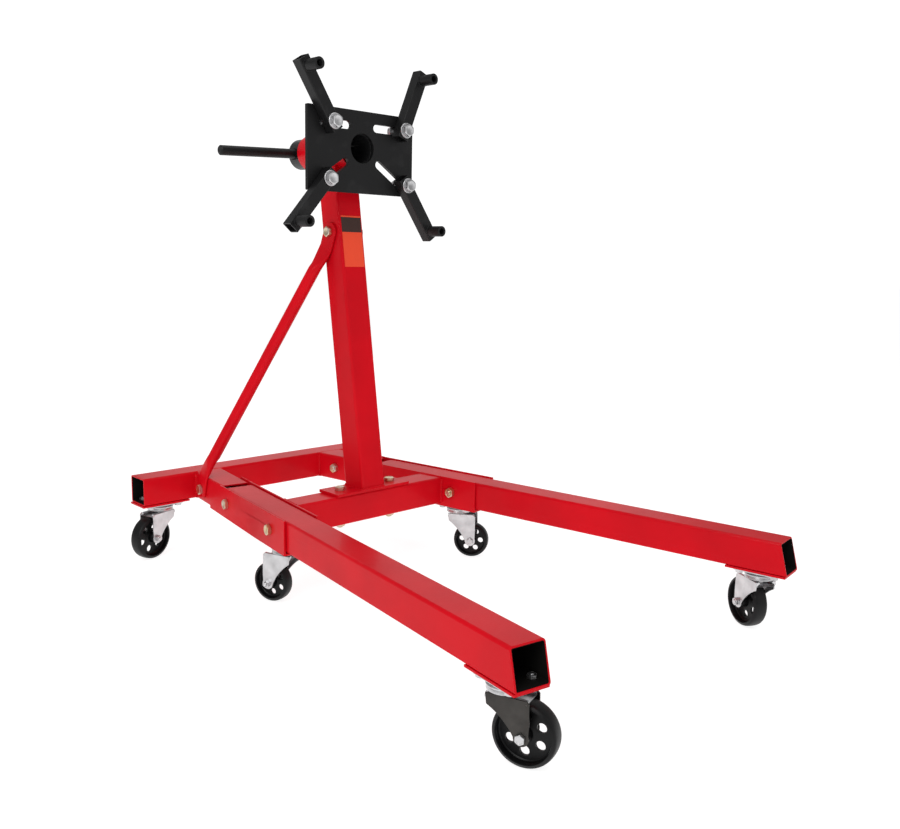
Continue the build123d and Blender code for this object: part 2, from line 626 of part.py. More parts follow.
parts["turning_bar"] = turning_bar()
for name in ARMS:
    parts[f"arm_tube_{name}"] = arm_tube(name)
    parts[f"arm_bush_{name}"] = arm_bush(name)
    parts[f"arm_fasteners_{name}"] = arm_fasteners(name)

os.makedirs("parts", exist_ok=True)
for name, shape in parts.items():
    export_step(shape, f"parts/{name}.step")
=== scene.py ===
import json
from math import cos, pi, radians, sin, sqrt, tau

import bmesh
import bpy
from mathutils import Matrix, Vector


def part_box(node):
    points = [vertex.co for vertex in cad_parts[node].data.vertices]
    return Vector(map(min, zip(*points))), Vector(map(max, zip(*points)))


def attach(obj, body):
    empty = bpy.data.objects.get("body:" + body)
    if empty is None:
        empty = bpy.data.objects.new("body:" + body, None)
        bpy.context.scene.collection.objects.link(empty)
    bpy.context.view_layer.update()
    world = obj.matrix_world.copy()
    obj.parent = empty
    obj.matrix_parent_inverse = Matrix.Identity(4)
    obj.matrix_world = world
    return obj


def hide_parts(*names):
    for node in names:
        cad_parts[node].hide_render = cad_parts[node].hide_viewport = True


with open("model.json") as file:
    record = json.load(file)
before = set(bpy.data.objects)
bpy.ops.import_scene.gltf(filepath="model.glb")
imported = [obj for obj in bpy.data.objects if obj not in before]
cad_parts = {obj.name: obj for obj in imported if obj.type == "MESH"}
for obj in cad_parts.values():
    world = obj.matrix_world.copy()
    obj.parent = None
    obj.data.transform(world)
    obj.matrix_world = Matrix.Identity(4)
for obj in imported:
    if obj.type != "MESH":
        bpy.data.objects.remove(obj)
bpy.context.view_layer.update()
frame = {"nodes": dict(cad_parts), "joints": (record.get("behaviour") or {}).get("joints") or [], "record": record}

bl_info = {
    "name": "Engine stand",
    "version": (1, 0, 0),
    "blender": (4, 5, 0),
    "location": "View3D > Sidebar > Engine stand",
    "description": "Finishes and detailed pieces for a folding engine stand",
    "category": "Object",
}

NODES = frame["nodes"]
JOINTS = {joint["name"]: joint for joint in frame["joints"]}
CASTERS = [name.removeprefix("wheel_spin_") for name in JOINTS if name.startswith("wheel_spin_")]
ARMS = [name.removeprefix("arm_pivot_") for name in JOINTS if name.startswith("arm_pivot_")]
SIDES = {"left": 1, "right": -1}
AXIS_Z = JOINTS["head_rotation"]["pos_m"][2]
AHEAD, LEFT, UP = Vector((1, 0, 0)), Vector((0, 1, 0)), Vector((0, 0, 1))
TUBE_WALL = 0.003
UPRIGHT_LEAN = radians(8.5)
UPRIGHT_RUN = 0.14945  # how far back the upright goes for each metre up
WELD_RIPPLE = 0.14  # swell of a weld bead as a share of its radius
FRAME_SHANK, FRAME_FLATS, FRAME_HEAD, FRAME_NUT = 0.006, 0.019, 0.0075, 0.01
CASTER_FLATS, CASTER_HEAD = 0.013, 0.0053
FORK_GAP = 0.0042
WEB_HOLE_AT, WEB_HOLE_SIZE = 0.54, 0.15  # shares of a wheel's radius
# Degrees from upright to the first hole of a wheel's web.
WHEEL_TURNS = {"rear_right": 44, "middle_left": 32}


# -------- shader maths
class Signal:
    """A shader value. Arithmetic on it adds Math nodes."""

    def __init__(self, tree, socket):
        self.tree, self.socket = tree, socket

    def math(self, operation, first, second):
        node = self.tree.nodes.new("ShaderNodeMath")
        node.operation = operation
        for socket, value in zip(node.inputs, (first, second)):
            connect(self.tree, socket, value)
        return Signal(self.tree, node.outputs[0])

    def __add__(self, other):
        return self.math("ADD", self, other)

    def __radd__(self, other):
        return self.math("ADD", other, self)

    def __sub__(self, other):
        return self.math("SUBTRACT", self, other)

    def __rsub__(self, other):
        return self.math("SUBTRACT", other, self)

    def __mul__(self, other):
        return self.math("MULTIPLY", self, other)

    def __rmul__(self, other):
        return self.math("MULTIPLY", other, self)


def connect(tree, socket, value):
    """Links a signal to a socket, or sets the socket to a plain value."""
    if isinstance(value, Signal):
        tree.links.new(value.socket, socket)
    else:
        socket.default_value = value


class Finish:
    """A procedural material, built round one Principled shader."""

    def __init__(self, name, colour, **fixed):
        self.material = bpy.data.materials.new(name)
        self.material.use_nodes = True
        self.material.diffuse_color = (*colour, 1)
        self.tree = self.material.node_tree
        self.shader = next(node for node in self.tree.nodes if node.type == "BSDF_PRINCIPLED")
        self.place = self.node("ShaderNodeTexCoord", {}, {}, "Object")
        self.fill(Base_Color=(*colour, 1), **fixed)

    def node(self, kind, settings, inputs, output=0):
        node = self.tree.nodes.new(kind)
        for key, value in settings.items():
            if key == "stops":
                ramp = node.color_ramp
                while len(ramp.elements) < len(value):
                    ramp.elements.new(0.5)
                for element, (position, level) in zip(ramp.elements, value):
                    element.position, element.color = position, (level, level, level, 1)
            else:
                setattr(node, key, value)
        for key, value in inputs.items():
            connect(self.tree, node.inputs[key], value)
        return Signal(self.tree, node.outputs[output])

    def noise(self, scale, detail=3.0, rough=0.5, stretch=(1, 1, 1)):
        where = self.place
        if stretch != (1, 1, 1):
            where = self.node("ShaderNodeVectorMath", {"operation": "MULTIPLY"},
                              {0: self.place, 1: stretch})
        return self.node("ShaderNodeTexNoise", {},
                         {"Vector": where, "Scale": scale, "Detail": detail, "Roughness": rough})

    def ramp(self, value, stops):
        return self.node("ShaderNodeValToRGB", {"stops": stops}, {"Fac": value})

    def mix(self, factor, first, second):
        settings = {"data_type": "RGBA"}
        return self.node("ShaderNodeMix", settings, {0: factor, 6: (*first, 1), 7: (*second, 1)}, 2)

    def bump(self, height, distance, strength=1.0):
        return self.node("ShaderNodeBump", {},
                         {"Height": height, "Distance": distance, "Strength": strength})

    def fill(self, **sockets):
        for key, value in sockets.items():
            connect(self.tree, self.shader.inputs[key.replace("_", " ")], value)


def shade(colour, factor):
    """A colour made darker or lighter."""
    return tuple(factor * c for c in colour)


def gloss_red(name, colour):
    """Sprayed enamel: orange peel, faint dust and a soft uneven gloss."""
    finish = Finish(name, colour, Coat_Roughness=0.12, Coat_IOR=1.4, Specular_IOR_Level=0.06)
    peel, cloud, dust = finish.noise(520, 2.0), finish.noise(7, 4.0), finish.noise(90, 6.0, 0.65)
    finish.fill(
        Base_Color=finish.mix(finish.ramp(cloud, [(0.35, 0.0), (0.7, 1.0)]), colour, shade(colour, 0.82)),
        Roughness=0.3 + 0.12 * cloud + 0.06 * dust,
        Coat_Weight=0.04 + 0.12 * cloud,
        Normal=finish.bump(peel + 0.4 * dust, 0.00012),
    )
    return finish.material


def grained_black(name, colour, lift, grain, patches, stops, rough, height):
    """Black with a fine grain and rubbed or bloomed lighter patches."""
    finish = Finish(name, colour, Specular_IOR_Level=0.22)
    grain, patches = finish.noise(grain, 3.0), finish.noise(*patches)
    finish.fill(
        Base_Color=finish.mix(finish.ramp(patches, stops), colour, tuple(c + lift for c in colour)),
        Roughness=0.3 + rough[0] * patches + rough[1] * grain,
        Normal=finish.bump(grain, height),
    )
    return finish.material


def satin_black(name, colour):
    """Baked black paint with a fine grain and rubbed lighter patches."""
    return grained_black(name, colour, 0.01, 900, (22, 5.0, 0.6), [(0.55, 0.0), (0.75, 1.0)],
                         (0.16, 0.05), 0.00008)


def zinc_plate(name, colour, stain):
    """Zinc plating: mottled brightness, drifting stain and fine rolling marks."""
    finish = Finish(name, colour, Specular_IOR_Level=0.5)
    mottle, drift = finish.noise(160, 4.0, 0.6), finish.noise(35, 3.0)
    lines = finish.noise(300, 2.0, 0.5, (1, 1, 9))
    finish.fill(
        Base_Color=finish.mix(finish.ramp(drift, [(0.35, 0.0), (0.7, 1.0)]), colour, stain),
        Metallic=0.92 + 0.08 * mottle,
        Roughness=0.2 + 0.18 * mottle + 0.06 * lines,
        Normal=finish.bump(mottle + lines, 0.00006),
    )
    return finish.material


def moulded_wheel(name, colour):
    """Hard moulded wheel compound with a slight bloom and turning marks."""
    return grained_black(name, colour, 0.004, 650, (30, 4.0), [(0.5, 0.0), (0.8, 1.0)],
                         (0.18, 0.06), 0.0001)


def shaded_bare_steel(name, colour):
    """Unpainted inside of a tube, with mill scale in patches; its near-black colour is painted shade of the dark
    tube inside.
    """
    finish = Finish(name, colour, Specular_IOR_Level=0.1)
    scale, streak = finish.noise(24, 4.0, 0.6), finish.noise(80, 3.0, 0.5, (0.1, 1, 1))
    finish.fill(
        Base_Color=finish.mix(scale, colour, shade(colour, 1.6)),
        Roughness=0.7 + 0.2 * streak,
        Normal=finish.bump(scale + streak, 0.0001),
    )
    return finish.material


def printed_vinyl(name, colour):
    """Sticker film with a faint ripple."""
    finish = Finish(name, colour, Specular_IOR_Level=0.5)
    ripple, fade = finish.noise(60, 2.0), finish.noise(25, 3.0)
    finish.fill(
        Base_Color=finish.mix(fade, colour, shade(colour, 0.9)),
        Roughness=0.28 + 0.1 * fade,
        Normal=finish.bump(ripple, 0.0002),
    )
    return finish.material


# -------- mesh building
def facing(origin, direction, around=None):
    """A frame at origin whose Z axis runs along direction, with X as near as possible to around."""
    z = Vector(direction).normalized()
    x = Vector(around) if around is not None else (UP if abs(z.z) < 0.9 else AHEAD)
    x = (x - z * x.dot(z)).normalized()
    return Matrix.Translation(Vector(origin)) @ Matrix((x, z.cross(x), z)).transposed().to_4x4()


class Shape:
    """Vertices and faces that are gathered before they become one piece."""

    def __init__(self):
        self.points, self.faces = [], []

    def add(self, points, faces, place=Matrix()):
        start = len(self.points)
        self.points += [place @ Vector(point) for point in points]
        self.faces += [tuple(start + i for i in face) for face in faces]
        return self

    def rings(self, rings, place=Matrix(), loop=False):
        """Skins rings that have equal counts. An open run gets a cap at each end."""
        count, last = len(rings[0]), len(rings) if loop else len(rings) - 1
        faces = []
        for r in range(last):
            a, b = r * count, (r + 1) % len(rings) * count
            faces += [(a + i, a + (i + 1) % count, b + (i + 1) % count, b + i) for i in range(count)]
        if not loop:
            faces += [tuple(reversed(range(count))),
                      tuple(range((len(rings) - 1) * count, len(rings) * count))]
        return self.add([point for ring in rings for point in ring], faces, place)

    def lathe(self, profile, place=Matrix(), segments=64, loop=False):
        """Turns a profile of (radius, height) about the Z axis."""
        turn = [tau * i / segments for i in range(segments)]
        return self.rings([[(r * cos(a), r * sin(a), h) for a in turn] for r, h in profile], place, loop)

    def prism(self, outline, low, high, place=Matrix()):
        """Raises a flat outline from low to high along the Z axis."""
        return self.rings([[(x, y, z) for x, y in outline] for z in (low, high)], place)

    def sweep(self, path, radius, segments=10, ripple=0.0, pitch=0.004, loop=False):
        """A round bar along a path; ripple swells and thins it, as the waves of a weld do."""
        rings, run = [], 0.0
        for i, here in enumerate(path):
            before = path[i - 1] if i or loop else path[0]
            after = path[(i + 1) % len(path)] if i + 1 < len(path) or loop else path[-1]
            run += (here - before).length if i else 0.0
            swell = radius * (1 + ripple * sin(tau * run / pitch))
            place = facing(here, after - before)
            rings.append([place @ Vector(point) for point in circle_ring(swell, 0, segments)])
        return self.rings(rings, loop=loop)

    def finish(self, name, slot, body, replaced=(), bevel=0.0, smooth=40, look=None):
        """Makes the piece, which rides on a body. Its finish is its slot's, unless look gives another."""
        mesh = bpy.data.meshes.new(name)
        mesh.from_pydata(self.points, [], self.faces)
        work = bmesh.new()
        work.from_mesh(mesh)
        bmesh.ops.recalc_face_normals(work, faces=work.faces)
        work.to_mesh(mesh)
        work.free()
        mesh.shade_smooth()
        mesh.set_sharp_from_angle(angle=radians(smooth))
        mesh.materials.append(look or material(slot))
        piece = bpy.data.objects.new(name, mesh)
        bpy.context.scene.collection.objects.link(piece)
        if bevel:
            soften(piece, bevel)
        if replaced:
            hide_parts(*replaced)
        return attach(piece, body)


def soften(piece, width, weld=False):
    """Rounds the sharp edges of a piece."""
    if weld:
        piece.modifiers.new("joined faces", "WELD").merge_threshold = 0.00001
    edge = piece.modifiers.new("soft edges", "BEVEL")
    edge.width, edge.segments, edge.limit_method = width, 3, "ANGLE"
    edge.angle_limit, edge.harden_normals = radians(40), True
    edge.miter_outer = "MITER_ARC"


def rounded_rectangle(length, width, radius, steps=8):
    """Outline of a rectangle with round corners."""
    outline = []
    for quarter, (sx, sy) in enumerate(((1, 1), (-1, 1), (-1, -1), (1, -1))):
        for step in range(steps + 1):
            angle = pi / 2 * (quarter + step / steps)
            outline.append((sx * (length / 2 - radius) + radius * cos(angle),
                            sy * (width / 2 - radius) + radius * sin(angle)))
    return outline


def islands(node):
    """The separate solids of a CAD node, each as a list of points."""
    work = bmesh.new()
    work.from_mesh(NODES[node].data)
    bmesh.ops.remove_doubles(work, verts=work.verts, dist=0.00001)
    left, found = set(work.verts), []
    while left:
        grown, edge = set(), [left.pop()]
        while edge:
            vertex = edge.pop()
            grown.add(vertex)
            for link in vertex.link_edges:
                other = link.other_vert(vertex)
                if other in left:
                    left.discard(other)
                    edge.append(other)
        found.append([vertex.co.copy() for vertex in grown])
    work.free()
    return found


# -------- fasteners
def hexagon_ring(flats, z, cone=None):
    """A hexagon's outline. With cone, corners that stand outside that radius drop by a 30 degree chamfer."""
    ring, steps = [], 48
    for i in range(steps):
        angle = tau * i / steps
        reach = flats / 2 / cos((angle % (pi / 3)) - pi / 6)
        drop = max(0.0, reach - cone) * 0.577 if cone else 0.0
        ring.append((reach * cos(angle), reach * sin(angle), z - drop))
    return ring


def circle_ring(radius, z, steps=48):
    return [(radius * cos(tau * i / steps), radius * sin(tau * i / steps), z) for i in range(steps)]


def bolt_head(shape, place, flats, height, washer_face=0.0006):
    """Hex head with a washer face, chamfered corners and a dished top. Z points out of the head."""
    rim = flats * 0.475
    rings = [circle_ring(rim, 0), circle_ring(rim, washer_face), hexagon_ring(flats, washer_face),
             hexagon_ring(flats, height, rim), circle_ring(rim, height), circle_ring(rim * 0.8, height),
             circle_ring(rim * 0.74, height - 0.0004)]
    shape.rings(rings, place)


def threaded_end(shape, place, radius, start, end, pitch=0.00175):
    """Screw thread that runs along Z, with a chamfered tip."""
    depth, rings, z = pitch * 0.5, [], start
    while z < end - pitch:
        rings += [(radius, z), (radius, z + pitch * 0.15), (radius - depth, z + pitch * 0.5),
                  (radius, z + pitch * 0.9)]
        z += pitch
    rings += [(radius, z), (radius, end - 0.0012), (radius - 0.0012, end)]
    shape.lathe(rings, place, 32)


def hex_nut(shape, place, flats, height, bore):
    """Nut with chamfered corners on both faces. Z runs through it."""
    rim = flats * 0.475
    low = [(x, y, height - z) for x, y, z in hexagon_ring(flats, height, rim)]
    rings = [circle_ring(bore, 0.0004), circle_ring(bore + 0.0006, 0), circle_ring(rim, 0), low,
             hexagon_ring(flats, height, rim), circle_ring(rim, height), circle_ring(bore + 0.0006, height),
             circle_ring(bore, height - 0.0004)]
    shape.rings(rings, place, loop=True)


def bolt_and_nut(shape, head, tip, flats, head_height, nut_face, nut_height, radius):
    """A whole bolt from under its head to its tip, with its nut standing on nut_face."""
    along = (tip - head).normalized()
    place, length = facing(head, along), (tip - head).length
    bolt_head(shape, facing(head, -along), flats, head_height)
    grip = (nut_face - head).length
    shape.lathe([(radius, 0), (radius, grip - 0.002)], place, 32)
    threaded_end(shape, place, radius, grip - 0.002, length)
    hex_nut(shape, facing(nut_face, along), flats, nut_height, radius)


def solid_ends(points, axis, shank):
    """(point on the centre line, lowest, highest, (lowest, highest) of the head) of a bolt along an axis."""
    spans = [point.dot(axis) for point in points]
    low, high = min(spans), max(spans)
    across = [Vector(point) - axis * point.dot(axis) for point in points]
    centre = Vector([(min(p[i] for p in across) + max(p[i] for p in across)) / 2 for i in range(3)])
    wide = [s for s, p in zip(spans, across) if (p - centre).length > shank * 1.3]
    return centre, low, high, (min(wide), max(wide)) if wide else (None, None)


# -------- sizes and colours
def colour_setting(name, description, default):
    """A colour that the panel shows."""
    return bpy.props.FloatVectorProperty(
        name=name, description=description, default=default, subtype="COLOR", min=0, max=1)


def length_setting(name, description, default, low=0):
    """A length that the panel shows."""
    return bpy.props.FloatProperty(name=name, description=description, default=default, min=low,
                                   unit="LENGTH")


def angle_setting(name, description, degrees):
    """An angle that the panel shows."""
    return bpy.props.FloatProperty(
        name=name, description=description, default=radians(degrees), subtype="ANGLE")


class StandFinishes(bpy.types.PropertyGroup):
    red: colour_setting("Frame red", "Enamel of the frame, legs and upright", (0.68, 0.003, 0.011))
    black: colour_setting("Head black", "Paint of the head, arms and bar", (0.008, 0.008, 0.0085))
    wheel: colour_setting("Wheel black", "Moulded wheels", (0.004, 0.004, 0.0045))
    zinc: colour_setting("Bright zinc", "Caster plates and head bolts", (0.66, 0.66, 0.67))
    yellow_zinc: colour_setting("Yellow zinc", "Frame bolts", (0.66, 0.47, 0.22))
    # Painted shade: a near-black copy of the bright zinc, for the shaded fork legs of the front right caster.
    fork_shade_zinc: colour_setting("Fork zinc shade", "Painted shade on the fork legs of the right leg's end caster", (0.05, 0.047, 0.044))
    # Near-black colour of the tube liners: painted shade of the dark tube insides, laid over unpainted steel.
    inside: colour_setting("Tube inside", "Bare steel with painted shade inside the open tubes", (0.004, 0.0035, 0.003))
    band: colour_setting("Label band", "Upper band of the label", (0.045, 0.014, 0.009))
    block: colour_setting("Label block", "Lower block of the label", (0.95, 0.07, 0.018))


class StandSizes(bpy.types.PropertyGroup):
    edge: length_setting("Edge rounding", "Rounding of cut plate and tube edges", 0.0007)
    weld: length_setting("Weld size", "Radius of the weld beads", 0.0032, 0.001)
    fork_sheet: length_setting("Fork sheet", "Thickness of a fork's sheet steel", 0.0025, 0.001)
    tread_crown: length_setting("Tread crown", "Height of a tread's crown", 0.0016)
    label_low: length_setting("Label height", "Lower end of the label above the floor", 0.642)
    label_length: length_setting("Label length", "Length of the label up the upright", 0.104, 0.02)


class StandView(bpy.types.PropertyGroup):
    spot: bpy.props.FloatVectorProperty(
        name="Camera place", description="Where the camera stands", default=(1.3273, -1.2178, 0.6706),
        subtype="TRANSLATION", unit="LENGTH")
    yaw: angle_setting("Yaw", "Direction of the view from +X", 136.175)
    pitch: angle_setting("Pitch", "Rise of the view", -9.583)
    roll: angle_setting("Roll", "Lean of the camera", 1.199)
    lens: bpy.props.FloatProperty(
        name="Lens", description="Focal length on a 36 mm sensor", default=37.856, min=1, unit="CAMERA")
    sky: bpy.props.FloatProperty(
        name="Sky", description="Strength of the even light all round", default=0.4, min=0)


def sizes():
    return bpy.context.scene.stand_sizes


MATERIALS = {}


def material(key):
    """The finish of a material slot, or one of the finishes without a slot, made once."""
    colours = bpy.context.scene.stand_finishes
    makers = {
        "red_paint": lambda: gloss_red("frame enamel", colours.red),
        "black_paint": lambda: satin_black("head paint", colours.black),
        "wheel_black": lambda: moulded_wheel("wheel compound", colours.wheel),
        "zinc_clear": lambda: zinc_plate("bright zinc", colours.zinc, shade(colours.zinc, 0.7)),
        "zinc_fork_shade": lambda: zinc_plate("fork zinc shade", colours.fork_shade_zinc, shade(colours.fork_shade_zinc, 1.5)),
        "zinc_yellow": lambda: zinc_plate("yellow zinc", colours.yellow_zinc, colours.zinc),
        "tube_inside_shade": lambda: shaded_bare_steel("tube inside shade", colours.inside),
        "label_band": lambda: printed_vinyl("label band", colours.band),
        "label_block": lambda: printed_vinyl("label block", colours.block),
    }
    if key not in MATERIALS:
        MATERIALS[key] = makers[key]()
    return MATERIALS[key]


# -------- places in the frame
def leg_direction(side):
    """Unit vectors along a leg and out of its outer side."""
    axis = Vector(JOINTS[f"leg_{'left' if side > 0 else 'right'}_fold"]["axis"])
    along = UP.cross(axis) * -1
    return along * (1 if along.x > 0 else -1), axis * (-side)


def caster_frames(name):
    """Frames of a caster: its mounting face, its fork (X to the wheel) and its wheel (Z along the axle)."""
    swivel = Vector(JOINTS[f"caster_swivel_{name}"]["pos_m"])
    hub = Vector(JOINTS[f"wheel_spin_{name}"]["pos_m"])
    axle = Vector(JOINTS[f"wheel_spin_{name}"]["axis"])
    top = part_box(f"caster_fork_{name}")[1].z
    ahead = Vector((hub.x - swivel.x, hub.y - swivel.y, 0))
    fork = facing((swivel.x, swivel.y, top), UP, ahead)
    return fork, facing(hub, axle, UP), ahead.length, hub.z, axle


# -------- operators
class FinishFrame(bpy.types.Operator):
    """Gives the frame's own nodes their finishes and soft edges"""

    bl_idname = "stand.finish_frame"
    bl_label = "Frame, head and arms"

    def execute(self, context):
        slots = {part["node"]: part["material_slot"] for part in frame["record"]["subparts"]}
        for name, node in NODES.items():
            node.data.materials.clear()
            node.data.materials.append(material(slots[name]))
            soften(node, sizes().edge, weld=True)
        return {"FINISHED"}


class MakeTubeInsides(bpy.types.Operator):
    """Lines the open tubes with bare steel, whose near-black colour is painted shade of their dark insides"""

    bl_idname = "stand.make_tube_insides"
    bl_label = "Tube insides"

    def execute(self, context):
        ways = {"rear_crossbar": ("frame", LEFT)}
        for hand, side in SIDES.items():
            ways[f"leg_{hand}"] = (f"leg_{hand}", leg_direction(side)[0])
        for node, (body, along) in ways.items():
            points = max(islands(node), key=len)
            across = along.cross(UP)
            middle = [(min(p.dot(axis) for p in points) + max(p.dot(axis) for p in points)) / 2
                      for axis in (across, UP, along)]
            place = facing(across * middle[0] + UP * middle[1] + along * middle[2], along, across)
            local = [place.inverted() @ p for p in points]
            wide, tall = (2 * max(p[i] for p in local) for i in (0, 1))
            ends = [self.end_plane(local, wide, tall, way) for way in (-1, 1)]
            bore = [span - 2 * TUBE_WALL for span in (wide, tall)]
            outer, inner = (rounded_rectangle(bore[0] - cut, bore[1] - cut, TUBE_WALL, 4)
                            for cut in (0.0001, 0.0005))
            rings = [[(x, y, ends[end](x, y)) for x, y in ring] for ring, end in
                     ((outer, 0), (outer, 1), (inner, 1), (inner, 0))]
            # The liner's near-black finish is painted shade inside the tube.
            Shape().rings(rings, place, loop=True).finish(
                f"{node}_inside", "red_paint", body, look=material("tube_inside_shade"))
        return {"FINISHED"}

    def end_plane(self, local, wide, tall, way):
        """Height of a tube's cut end over its cross-section, just inside the cut."""
        reach = {(sx, sy): max(p.z * way for p in local if p.x * sx > 0 and p.y * sy > 0) * way
                 for sx in (1, -1) for sy in (1, -1)}
        lean_x = sum(sx * z for (sx, sy), z in reach.items()) / 2 / wide
        lean_y = sum(sy * z for (sx, sy), z in reach.items()) / 2 / tall
        level = sum(reach.values()) / 4 - 0.0006 * way
        return lambda x, y: level + lean_x * x + lean_y * y


class MakeCasters(bpy.types.Operator):
    """Builds the detailed casters: bolted top plates, ball races, forks, axles and wheels"""

    bl_idname = "stand.make_casters"
    bl_label = "Casters"

    def mount(self, name, body, replaced):
        """Top plate with a pressed seat, and its four bolts."""
        fork, _, _, _, _ = caster_frames(name)
        end, hand = name.split("_")
        seats = {"front": f"leg_caster_plate_{hand}", "rear": "rear_caster_plates",
                 "middle": "bracket_floor_plates"}
        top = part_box(seats[end])[0].z
        along = LEFT if end == "rear" else leg_direction(SIDES[hand])[0]
        place = facing((fork.translation.x, fork.translation.y, top), UP, along)
        shape = Shape().prism(rounded_rectangle(0.084, 0.056, 0.008), -0.0025, -0.0001, place)
        shape.finish(f"caster_plate_{name}", "zinc_clear", body, replaced, 0.0006)
        seat = Shape().lathe([(0.0255, -0.0025), (0.0245, -0.0034), (0.0235, -0.0058), (0.0225, -0.0064),
                              (0.008, -0.0066)], place)
        seat.lathe([(0.0262, -0.0062), (0.0272, -0.0066), (0.0272, -0.0082), (0.0262, -0.0086)], place)
        for step in range(18):
            angle = tau * step / 18
            ball = place @ Matrix.Translation((0.0235 * cos(angle), 0.0235 * sin(angle), -0.0072))
            profile = [(0.0018 * sin(pi * k / 8), -0.0018 * cos(pi * k / 8)) for k in range(1, 8)]
            seat.lathe(profile, ball, 12)
        seat.finish(f"caster_race_{name}", "zinc_clear", body)
        bolts = Shape()
        for sx in (1, -1):
            for sy in (1, -1):
                head = place @ Vector((0.032 * sx, 0.018 * sy, -0.0025))
                if "middle" in name:
                    bolt_head(bolts, facing(head, -UP), CASTER_FLATS, CASTER_HEAD)
                else:
                    bolt_and_nut(bolts, head, head + UP * 0.0165, CASTER_FLATS, CASTER_HEAD,
                                 head + UP * 0.0095, 0.0055, 0.004)
        bolts.finish(f"caster_bolts_{name}", "zinc_clear", body)

    def fork(self, name, half):
        """Pressed fork: a domed crown that runs into two tapering legs with a hollow rear edge."""
        place, _, trail, axle_z, _ = caster_frames(name)
        body, sheet = f"caster_swivel_{name}", sizes().fork_sheet
        drop = axle_z - place.translation.z
        crown = Shape().lathe([(0.006, -0.0008), (0.022, -0.0008), (0.0252, -0.0018), (0.0262, -0.0045),
                               (0.0268, -0.0075), (0.0236, -0.0075), (0.0232, -0.0048), (0.021, -0.0036),
                               (0.006, -0.0036)], place, loop=True)
        tip, low = 0.0115, -0.0145
        ahead = trail + 0.0105
        front = [(ahead - 0.004, low + 0.004), (ahead, low), (ahead + 0.0006, drop + 0.02)]
        rear_top = [(-0.019, low - 0.012), (-0.021, low + 0.004)]
        round_tip = [(trail + tip * cos(a), drop + tip * sin(a)) for a in
                     [radians(25 - 205 * k / 14) for k in range(15)]]
        start, end = Vector(round_tip[-1]), Vector(rear_top[0])
        pull = start.lerp(end, 0.5) + Vector((0.0055, 0.0055))
        hollow = [tuple(start * (1 - t) ** 2 + pull * 2 * t * (1 - t) + end * t * t)
                  for t in (k / 12 for k in range(1, 12))]
        outline = front + round_tip + hollow + rear_top
        legs = Shape()
        for way in (1, -1):
            leg_place = place @ Matrix.Translation((0, way * (half + FORK_GAP + sheet / 2), 0))
            leg_place @= Matrix.Rotation(pi / 2, 4, "X")
            legs.prism(outline, -sheet / 2, sheet / 2, leg_place)
        reach = half + FORK_GAP + sheet
        bend, steps = 0.006, 8
        profile = []
        for way in (1, -1):
            turns = [pi / 2 * k / steps for k in range(steps + 1)]
            arc = [(way * (reach - bend + bend * sin(a)), low + 0.004 - bend + bend * cos(a))
                   for a in turns]
            profile += arc if way > 0 else arc[::-1]
        inner = [(y * (reach - sheet) / reach, z - sheet) for y, z in profile]
        rings = [[(x, y, z) for y, z in profile + inner[::-1]] for x in (-0.021, ahead - 0.004)]
        crown.rings(rings, place)
        # The front right fork's legs take painted shade: a dark copy of the zinc that its crown keeps bright.
        steel = material("zinc_fork_shade" if name == "front_right" else "zinc_clear")
        crown.finish(f"fork_crown_{name}", "zinc_clear", body, (f"caster_fork_{name}",), 0.0005)
        legs.finish(f"fork_legs_{name}", "zinc_clear", body, (), 0.0007, look=steel)
        pins = Shape()
        outer = half + FORK_GAP + sheet
        hub = place @ Vector((trail, 0, drop))
        side = (place.to_3x3() @ LEFT).normalized()
        bolt_and_nut(pins, hub - side * outer, hub + side * (outer + 0.0085), CASTER_FLATS, CASTER_HEAD,
                     hub + side * outer, 0.0065, 0.004)
        pins.lathe([(0.005, -0.017), (0.0085, -0.0165), (0.0092, -0.015), (0.0088, -0.0135),
                    (0.005, -0.013), (0.005, 0.0)], place, 32)
        pins.finish(f"caster_axle_{name}", "zinc_clear", body, (f"caster_pins_{name}",))

    def wheel(self, name, radius, half):
        """Crowned tread with rounded shoulders, a dished web with six holes, a hub and its bushing."""
        _, place, _, _, _ = caster_frames(name)
        crown = sizes().tread_crown
        tread = []
        for k in range(17):
            t = -1 + 2 * k / 16
            shoulder = 0.005 * (1 - sqrt(max(0.0, 1 - abs(t) ** 7)))
            tread.append((radius - crown * t * t - shoulder, half * t))
        inner, web = radius - 0.0075, 0.0022
        left = [(0.0042, -half - 0.0014), (0.0095, -half - 0.0014), (0.0106, -half + 0.0006),
                (0.0112, -web - 0.0014), (0.013, -web), (inner - 0.0022, -web),
                (inner - 0.0006, -web - 0.0014), (inner, -half + 0.0024),
                (inner + 0.0012, -half + 0.0006)]
        right = [(r, -z) for r, z in reversed(left)]
        shape = Shape().lathe(left + tread + right, place, 96, loop=True)
        body = f"caster_wheel_{name}"
        wheel = shape.finish(f"wheel_{name}", "wheel_black", body, (f"caster_wheel_{name}",))
        cutter = Shape()
        for step in range(6):
            angle = tau * step / 6 + radians(WHEEL_TURNS.get(name, 2))
            away = radius * WEB_HOLE_AT
            middle = Matrix.Translation((away * cos(angle), away * sin(angle), 0))
            hole = radius * WEB_HOLE_SIZE
            cutter.lathe([(hole, -0.02), (hole, 0.02)], place @ middle, 40)
        cut_web(wheel, cutter)
        soften(wheel, 0.0006)
        bush = Shape().lathe([(0.0041, -half - 0.0026), (0.0072, -half - 0.0026), (0.0075, -half - 0.0022),
                              (0.0075, half + 0.0022), (0.0072, half + 0.0026), (0.0041, half + 0.0026)],
                             place, 32, loop=True)
        bush.finish(f"wheel_bush_{name}", "zinc_clear", body)

